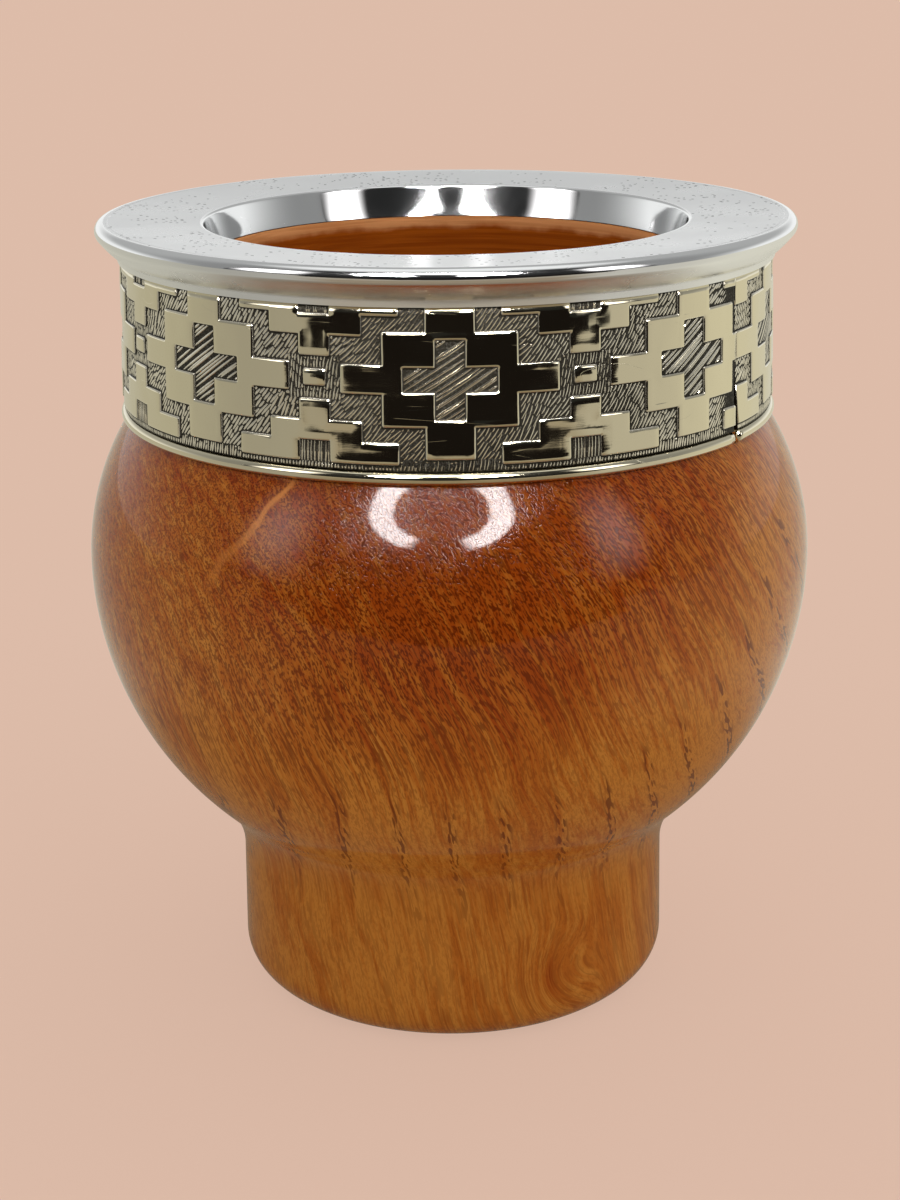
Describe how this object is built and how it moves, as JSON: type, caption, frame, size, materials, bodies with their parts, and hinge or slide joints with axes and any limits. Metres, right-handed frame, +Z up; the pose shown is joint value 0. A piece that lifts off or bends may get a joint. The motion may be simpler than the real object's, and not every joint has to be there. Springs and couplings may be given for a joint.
{
  "type": "wooden mate cup",
  "caption": "Turned wooden mate cup on a foot, with a flanged metal rim round its mouth and an engraved metal band with a stepped-cross pattern under the rim.",
  "frame": {"origin": "centre of the foot's flat underside, on the surface that the cup stands on", "axes": "+Z up along the turning axis, -Y towards the front of the cup, +X to its right, with the seam of the band 55 degrees to the right of the front"},
  "size_m": [0.0802, 0.0802, 0.088],
  "materials": {
    "varnished_wood": "orange-brown hardwood under gloss varnish",
    "cast_aluminium": "satin flange with fine casting pits, polished edge and throat",
    "nickel_silver": "polished plates over a finely hatched ground",
    "adhesive": "set adhesive"
  },
  "bodies": {
    "root": {"turned_body": "varnished_wood", "rim_adhesive": "adhesive", "cast_rim": "cast_aluminium", "band_adhesive": "adhesive", "engraved_band": "nickel_silver", "lower_bead": "nickel_silver"}
  },
  "joints": []
}
